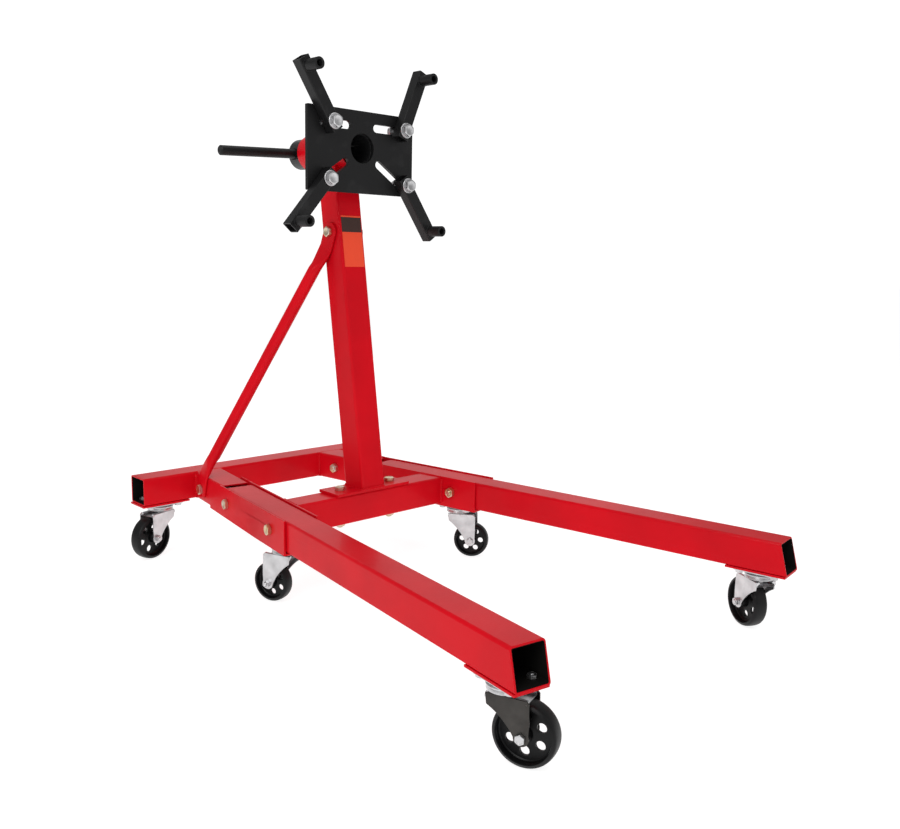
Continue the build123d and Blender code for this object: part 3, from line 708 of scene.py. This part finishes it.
    def execute(self, context):
        replaced = {"rear_right": ("caster_mounts_frame",), "front_left": ("caster_mount_front_left",),
                    "front_right": ("caster_mount_front_right",)}
        for name in CASTERS:
            low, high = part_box(f"caster_wheel_{name}")
            radius = (high.z - low.z) / 2
            half = 0.014 if radius > 0.043 else 0.0125
            end, hand = name.split("_")
            self.mount(name, f"leg_{hand}" if end == "front" else "frame", replaced.get(name, ()))
            self.fork(name, half)
            self.wheel(name, radius, half)
        return {"FINISHED"}


def cut_web(wheel, cutter):
    """Bores a wheel's web with the cutter's bars, and keeps the result as the wheel's mesh."""
    mesh = bpy.data.meshes.new("web cutter")
    mesh.from_pydata(cutter.points, [], cutter.faces)
    tool = bpy.data.objects.new("web cutter", mesh)
    bpy.context.scene.collection.objects.link(tool)
    bore = wheel.modifiers.new("web holes", "BOOLEAN")
    bore.object, bore.operation, bore.solver = tool, "DIFFERENCE", "EXACT"
    bpy.context.view_layer.update()
    cut = bpy.data.meshes.new_from_object(wheel.evaluated_get(bpy.context.evaluated_depsgraph_get()))
    wheel.modifiers.remove(bore)
    wheel.data = cut
    cut.set_sharp_from_angle(angle=radians(40))
    bpy.data.objects.remove(tool)


class MakeFrameBolts(bpy.types.Operator):
    """Builds the hex bolts and nuts of the base frame, braces and legs"""

    bl_idname = "stand.make_frame_bolts"
    bl_label = "Frame bolts"

    def execute(self, context):
        shape = Shape()
        for points in islands("foot_plate_bolts"):
            self.bolt(shape, points, UP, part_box("center_crossbar")[0].z)
        tops = {}
        for points in islands("brace_bolts"):
            if min(p.z for p in points) > 0.4:
                self.bolt(shape, points, -LEFT, None, 0.036)
            else:
                side = 1 if points[0].y > 0 else -1
                tops[side] = points
        for side in SIDES.values():
            _, out = leg_direction(side)
            self.bolt(shape, tops[side], out, None, grip=0.068)
        for node in ("leg_pivot_bolts", "leg_lock_bolts"):
            for points in islands(node):
                side = 1 if sum(points, Vector()).y > 0 else -1
                _, out = leg_direction(side)
                self.bolt(shape, points, out, None, grip=0.07)
        replaced = ("foot_plate_bolts", "brace_bolts", "leg_pivot_bolts", "leg_lock_bolts", "frame_nuts")
        shape.finish("frame_bolt_set", "zinc_yellow", "frame", replaced)
        return {"FINISHED"}

    def bolt(self, shape, points, out, nut_z=None, half=None, grip=None):
        """One bolt that follows a CAD solid; out points from its shank to its head."""
        centre, low, high, wide = solid_ends(points, out, FRAME_SHANK)
        if wide[0] is None:
            face = centre + out * (high - 0.0045)
            threaded_end(shape, facing(centre + out * high, -out), FRAME_SHANK, 0, high - low)
            hex_nut(shape, facing(face, -out), FRAME_FLATS, FRAME_NUT, FRAME_SHANK)
            return
        head = centre + out * wide[0]
        tip = centre + out * low
        if nut_z is not None:
            face = Vector((head.x, head.y, nut_z))
        elif half is not None:
            face = Vector((head.x, half, head.z))
        else:
            face = head - out * grip
        if (tip - head).length < 0.02:
            bolt_head(shape, facing(head, out), FRAME_FLATS, FRAME_HEAD)
            shape.lathe([(FRAME_SHANK, 0), (FRAME_SHANK, (tip - head).length)], facing(head, -out), 32)
            return
        bolt_and_nut(shape, head, tip, FRAME_FLATS, FRAME_HEAD, face, FRAME_NUT, FRAME_SHANK)


class MakeArmBolts(bpy.types.Operator):
    """Builds the clamping bolts of the arms, with their washers and nuts"""

    bl_idname = "stand.make_arm_bolts"
    bl_label = "Arm bolts"

    def execute(self, context):
        for name in ARMS:
            _, y, z = JOINTS[f"arm_pivot_{name}"]["pos_m"]
            low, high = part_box(f"arm_fasteners_{name}")
            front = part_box(f"arm_tube_{name}")[1].x + 0.0003
            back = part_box("mounting_plate")[0].x - 0.0002
            head = Vector((front + 0.0025, y, z))
            shape = Shape()
            bolt_and_nut(shape, head, Vector((low.x, y, z)), 0.022, high.x - front - 0.0025,
                         Vector((back - 0.0025, y, z)), 0.011, 0.007)
            for x in (front, back - 0.0025):
                ring = [(0.0072, 0), (0.0145, 0), (0.015, 0.0005), (0.015, 0.002), (0.0145, 0.0025),
                        (0.0072, 0.0025)]
                shape.lathe(ring, facing((x, y, z), AHEAD), 48, loop=True)
            shape.finish(f"arm_bolt_{name}", "zinc_clear", f"arm_clamp_{name}", (f"arm_fasteners_{name}",))
        return {"FINISHED"}


class MakeBraces(bpy.types.Operator):
    """Builds the round braces, which are pressed flat at both ends"""

    bl_idname = "stand.make_braces"
    bl_label = "Braces"

    def execute(self, context):
        holes = {}
        for points in islands("brace_bolts"):
            middle = sum(points, Vector()) / len(points)
            if middle.z > 0.4:
                axis_point = solid_ends(points, LEFT, FRAME_SHANK)[0]
                top = Vector((axis_point.x, 0, axis_point.z))
            else:
                side = 1 if middle.y > 0 else -1
                _, out = leg_direction(side)
                centre, _, _, wide = solid_ends(points, out, FRAME_SHANK)
                holes[side] = centre + out * (wide[0] - 0.003)
        for hand, side in SIDES.items():
            _, out = leg_direction(side)
            self.brace(hand, Vector((top.x, side * 0.033, top.z)), Vector((0, side, 0)), holes[side], out)
        return {"FINISHED"}

    def brace(self, hand, top, top_out, foot, foot_out):
        run = top - foot
        down = (-run + top_out * run.dot(top_out)).normalized()
        up = (run - foot_out * run.dot(foot_out)).normalized()
        tongue, blend, half, tube = 0.034, 0.05, 0.0029, 0.013
        flat, square = 0.019, 0.35
        top_end, foot_end = top + down * tongue, foot + up * tongue
        axis = (top_end - foot_end).normalized()

        def section(centre, way, out, wide, thick, power):
            side = out.cross(way).normalized()
            ring = []
            for k in range(48):
                a = tau * k / 48
                c, s = cos(a), sin(a)
                ring.append(centre + side * wide * abs(c) ** power * (1 if c > 0 else -1)
                            + out * thick * abs(s) ** power * (1 if s > 0 else -1))
            return ring

        def end_rings(hole, way, out, end, bend_way):
            rings = []
            for k in range(9):
                a = pi / 2 * (1 - k / 8)
                wide = max(0.001, flat * cos(a))
                rings.append(section(hole - way * flat * sin(a), way, out, wide, half, square))
            rings.append(section(end, way, out, flat, half, square))
            for k in range(1, 13):
                t = k / 12
                s = t * t * (3 - 2 * t)
                centre = end + way * (1 - t) * t * 0.02 + bend_way * t * blend
                heading = (way * (1 - t) + bend_way * t).normalized()
                wide, thick = flat + (tube - flat) * s, half + (tube - half) * s
                rings.append(section(centre, heading, out, wide, thick, square + 0.65 * min(1, s * 1.2)))
            return rings

        low = end_rings(foot, up, foot_out, foot_end, axis)
        high = end_rings(top, down, top_out, top_end, -axis)
        mirrored = [self.match(ring, low[-1], axis) for ring in reversed(high)]
        shape = Shape().rings(low + mirrored)
        shape.finish(f"brace_tube_{hand}", "red_paint", "frame", (f"brace_{hand}",), smooth=50)

    def match(self, ring, guide, axis):
        """Reorders a ring, so that it runs the same way and starts at the same side as the guide."""
        centre, other = sum(ring, Vector()) / len(ring), sum(guide, Vector()) / len(guide)
        aim = guide[0] - other
        aim = (aim - axis * aim.dot(axis)).normalized()
        turned = ring[::-1]
        first = max(range(len(turned)), key=lambda i: (turned[i] - centre).dot(aim))
        return turned[first:] + turned[:first]


class MakeWelds(bpy.types.Operator):
    """Lays weld beads along the joints of the frame and the head"""

    bl_idname = "stand.make_welds"
    bl_label = "Welds"

    def execute(self, context):
        frame_beads, size = Shape(), sizes().weld
        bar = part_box("rear_crossbar")
        for hand, side in SIDES.items():
            along, out = leg_direction(side)
            pivot = Vector(JOINTS[f"leg_{hand}_fold"]["pos_m"])
            root = pivot - along * ((pivot.x - bar[1].x) / along.x)
            width, high, low = 0.031 / along.x, bar[1].z - 0.003, bar[0].z + 0.003
            corners = [(bar[1].x, root.y - width, high), (bar[1].x, root.y + width, high),
                       (bar[1].x, root.y + width, low), (bar[1].x, root.y - width, low)]
            self.bead(frame_beads, corners, size, True)
            plates = islands(f"bracket_plates_{hand}")
            for points in plates:
                middle = sum(points, Vector()) / len(points)
                way = out if (middle - pivot).dot(out) > 0 else -out
                start = min((p - pivot).dot(along) for p in points)
                face = pivot + along * start + way * 0.0312
                self.bead(frame_beads, [face + UP * -0.026, face + UP * 0.018], size * 0.8, False)
                upper = pivot + way * 0.0325
                ends = [pivot + along * (start + 0.012) + way * 0.0322 + UP * 0.031,
                        upper - along * 0.042 + UP * 0.031]
                self.bead(frame_beads, ends, size * 0.6, False)
            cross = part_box("center_crossbar")
            for x in (cross[0].x, cross[1].x):
                reach = self.reach(pivot, along, x)
                ends = [(x, side * reach, cross[0].z + 0.004), (x, side * reach, cross[1].z - 0.004)]
                self.bead(frame_beads, ends, size, False)
            ends = [(x, side * self.reach(pivot, along, x), cross[1].z)
                    for x in (cross[0].x + 0.004, cross[1].x - 0.004)]
            self.bead(frame_beads, ends, size * 0.8, False)
        plate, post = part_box("upright_foot_plate"), islands("upright_tube")[0]
        near = [p for p in post if p.z < plate[1].z + 0.001]
        x0, x1 = min(p.x for p in near), max(p.x for p in near)
        corners = [(x0, -0.027, plate[1].z), (x0, 0.027, plate[1].z), (x1, 0.027, plate[1].z),
                   (x1, -0.027, plate[1].z)]
        self.bead(frame_beads, corners, size, True)
        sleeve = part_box("head_sleeve")
        radius = (sleeve[1].z - sleeve[0].z) / 2
        saddle = []
        for k in range(97):
            a = tau * k / 96
            y = 0.0302 * max(-1, min(1, 1.25 * sin(a)))
            x = 0.0303 * max(-1, min(1, 1.25 * cos(a)))
            z = AXIS_Z - sqrt(radius ** 2 - y ** 2)
            centre = self.post_centre(post, z)
            saddle.append(Vector((centre + x, y, z)))
        frame_beads.sweep(saddle[:-1], size, 8, WELD_RIPPLE, loop=True)
        frame_beads.finish("frame_weld_beads", "red_paint", "frame")
        head_beads = Shape()
        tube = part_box("rotating_tube")
        radius = (tube[1].z - tube[0].z) / 2 + 0.0005
        ring = [Vector((tube[1].x - 0.0006, y, AXIS_Z + z)) for y, z, _ in circle_ring(radius, 0, 160)]
        head_beads.sweep(ring, size, 8, WELD_RIPPLE, loop=True)
        head_beads.finish("head_weld_bead", "black_paint", "head")
        for name in ARMS:
            _, y, z = JOINTS[f"arm_pivot_{name}"]["pos_m"]
            low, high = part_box(f"arm_bush_{name}")
            middle, radius = (low + high) / 2, 0.0112
            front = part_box(f"arm_tube_{name}")[1].x
            ring = [Vector((front, middle.y + y, middle.z + z)) for y, z, _ in circle_ring(radius, 0, 96)]
            Shape().sweep(ring, 0.0016, 8, WELD_RIPPLE, 0.003, True).finish(
                f"arm_weld_bead_{name}", "black_paint", f"arm_{name}")
        return {"FINISHED"}

    def reach(self, pivot, along, x):
        """Distance from the middle of the stand to a bracket's inner plate."""
        return abs(pivot.y + (x - pivot.x) * along.y / along.x) - 0.0352 / along.x

    def post_centre(self, post, z):
        """Centre line of the leaning upright at a height."""
        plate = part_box("upright_foot_plate")
        foot = [p for p in post if p.z < plate[1].z + 0.001]
        x = (min(p.x for p in foot) + max(p.x for p in foot)) / 2
        return x - (z - plate[1].z) * UPRIGHT_RUN

    def bead(self, shape, corners, size, loop):
        """A rippled bead that runs from corner to corner."""
        corners = [Vector(c) for c in corners]
        path = []
        pairs = list(zip(corners, corners[1:] + corners[:1])) if loop else list(zip(corners, corners[1:]))
        for a, b in pairs:
            count = max(2, int((b - a).length / 0.0008))
            path += [a.lerp(b, k / count) for k in range(count)]
        if not loop:
            path.append(corners[-1])
        shape.sweep(path, size, 8, WELD_RIPPLE, loop=loop)


class MakeLabel(bpy.types.Operator):
    """Puts a blank two-colour sticker on the front of the upright"""

    bl_idname = "stand.make_label"
    bl_label = "Label"

    def execute(self, context):
        post, options = islands("upright_tube")[0], sizes()
        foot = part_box("upright_foot_plate")[1].z
        near = [p for p in post if p.z < foot + 0.001]
        front = max(p.x for p in near)
        rise = Vector((-sin(UPRIGHT_LEAN), 0, cos(UPRIGHT_LEAN)))
        out = Vector((cos(UPRIGHT_LEAN), 0, sin(UPRIGHT_LEAN)))
        base = Vector((front, 0, foot)) + rise * ((options.label_low - foot) / cos(UPRIGHT_LEAN))
        place = Matrix.Translation(base) @ Matrix((LEFT, rise, out)).transposed().to_4x4()
        tall = options.label_length
        bands = {"block": ("label_block", 0.0, 0.68), "band": ("label_band", 0.68, 0.97),
                 "edge": ("label_block", 0.97, 1.0)}
        for name, (film, low, high) in bands.items():
            block = [(x, tall * low + (y + 0.5) * tall * (high - low))
                     for x, y in rounded_rectangle(0.05, 1.0, 0.0015, 4)]
            Shape().prism(block, 0.0001, 0.0004, place).finish(f"label_{name}", "red_paint", "frame",
                                                               look=material(film))
        return {"FINISHED"}


class MakeLockScrew(bpy.types.Operator):
    """Builds the head's lock screw with its sliding tee bar"""

    bl_idname = "stand.make_lock_screw"
    bl_label = "Lock screw"

    def execute(self, context):
        low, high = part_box("head_lock_screw")
        centre = Vector(((low.x + high.x) / 2, 0, 0))
        shape = Shape()
        threaded_end(shape, facing((centre.x, 0, high.z - 0.016), -UP), 0.006, 0, high.z - 0.016 - low.z)
        shape.lathe([(0.0058, -0.016), (0.0092, -0.0155), (0.0098, -0.014), (0.0098, -0.0015),
                     (0.0088, 0.0)],
                    facing((centre.x, 0, high.z), UP), 48)
        bar = facing((centre.x, low.y, high.z - 0.0078), LEFT)
        length = high.y - low.y
        shape.lathe([(0.003, 0), (0.0048, 0.0008), (0.0055, 0.003), (0.0048, 0.0056), (0.0036, 0.0066),
                     (0.0036, length - 0.0066), (0.0048, length - 0.0056), (0.0055, length - 0.003),
                     (0.0048, length - 0.0008), (0.003, length)], bar, 32)
        shape.finish("lock_screw", "zinc_clear", "head_lock_screw", ("head_lock_screw",))
        nut = Shape()
        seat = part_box("head_sleeve")[1].z
        hex_nut(nut, facing((centre.x, 0, seat - 0.0035), UP), 0.019, 0.0135, 0.0062)
        nut.finish("lock_screw_nut", "red_paint", "frame")
        return {"FINISHED"}


class MakeStage(bpy.types.Operator):
    """Sets the floor, the soft lights and the camera"""

    bl_idname = "stand.make_stage"
    bl_label = "Stage"

    def execute(self, context):
        scene, view = context.scene, context.scene.stand_view
        floor = Shape().prism(rounded_rectangle(60, 60, 4, 8), -0.02, 0.0)
        mesh = bpy.data.meshes.new("floor")
        mesh.from_pydata(floor.points, [], floor.faces)
        ground = bpy.data.objects.new("floor", mesh)
        scene.collection.objects.link(ground)
        finish = Finish("pale floor", (0.35, 0.35, 0.35), Roughness=0.9, Specular_IOR_Level=0.1,
                        Emission_Color=(1, 1, 1, 1), Emission_Strength=0.86)
        mesh.materials.append(finish.material)
        world = bpy.data.worlds.new("studio")
        world.use_nodes = True
        tree = world.node_tree
        soft, seen = tree.nodes["Background"], tree.nodes.new("ShaderNodeBackground")
        soft.inputs["Color"].default_value = seen.inputs["Color"].default_value = (1, 1, 1, 1)
        soft.inputs["Strength"].default_value, seen.inputs["Strength"].default_value = view.sky, 1.1
        either, path = tree.nodes.new("ShaderNodeMixShader"), tree.nodes.new("ShaderNodeLightPath")
        tree.links.new(path.outputs["Is Camera Ray"], either.inputs[0])
        tree.links.new(soft.outputs[0], either.inputs[1])
        tree.links.new(seen.outputs[0], either.inputs[2])
        tree.links.new(either.outputs[0], tree.nodes["World Output"].inputs["Surface"])
        scene.world = world
        scene.view_settings.view_transform = "Standard"
        for name, spot, aim, size, power in (
            ("key", (1.4, -3.4, 3.2), (0, 0, 0.4), 2.4, 75),
            ("top", (0.2, 0.3, 4.4), (0, 0, 0.3), 3.0, 40),
            ("rim", (-3.0, 2.6, 1.4), (0, 0, 0.4), 3.4, 22),
            ("front", (3.6, 0.6, 1.6), (0, 0, 0.4), 2.4, 10),
        ):
            light = bpy.data.lights.new(name, "AREA")
            light.shape, light.size, light.energy = "SQUARE", size, power
            lamp = bpy.data.objects.new(name, light)
            lamp.matrix_world = facing(spot, Vector(spot) - Vector(aim))
            scene.collection.objects.link(lamp)
        ahead = Vector((cos(view.pitch) * cos(view.yaw), cos(view.pitch) * sin(view.yaw), sin(view.pitch)))
        right = Vector((sin(view.yaw), -cos(view.yaw), 0))
        top = right.cross(ahead)
        turned = right * cos(view.roll) + top * sin(view.roll)
        upright = -right * sin(view.roll) + top * cos(view.roll)
        data = bpy.data.cameras.new("camera")
        data.sensor_width, data.lens = 36, view.lens
        data.clip_end = 100
        camera = bpy.data.objects.new("camera", data)
        turn_matrix = Matrix((turned, upright, -ahead)).transposed().to_4x4()
        camera.matrix_world = Matrix.Translation(view.spot) @ turn_matrix
        scene.collection.objects.link(camera)
        scene.camera = camera
        return {"FINISHED"}


OPERATORS = (FinishFrame, MakeTubeInsides, MakeCasters, MakeFrameBolts, MakeArmBolts, MakeBraces, MakeWelds,
             MakeLabel, MakeLockScrew, MakeStage)


class StandPanel(bpy.types.Panel):
    """Lists the steps that finish the engine stand"""

    bl_idname = "VIEW3D_PT_engine_stand"
    bl_label = "Engine stand"
    bl_space_type = "VIEW_3D"
    bl_region_type = "UI"
    bl_category = "Engine stand"

    def draw(self, context):
        for operator in OPERATORS:
            self.layout.operator(operator.bl_idname)
        for group in (context.scene.stand_finishes, context.scene.stand_sizes, context.scene.stand_view):
            box = self.layout.box()
            for key in group.bl_rna.properties.keys():
                if key not in ("rna_type", "name"):
                    box.prop(group, key)


CLASSES = (StandFinishes, StandSizes, StandView, *OPERATORS, StandPanel)
GROUPS = {"stand_finishes": StandFinishes, "stand_sizes": StandSizes, "stand_view": StandView}


def register():
    for each in CLASSES:
        bpy.utils.register_class(each)
    for key, group in GROUPS.items():
        setattr(bpy.types.Scene, key, bpy.props.PointerProperty(type=group))


def unregister():
    for key in GROUPS:
        delattr(bpy.types.Scene, key)
    for each in reversed(CLASSES):
        bpy.utils.unregister_class(each)


def main():
    register()
    for operator in OPERATORS:
        group, name = operator.bl_idname.split(".")
        getattr(getattr(bpy.ops, group), name)()


if __name__ == "__main__":
    main()
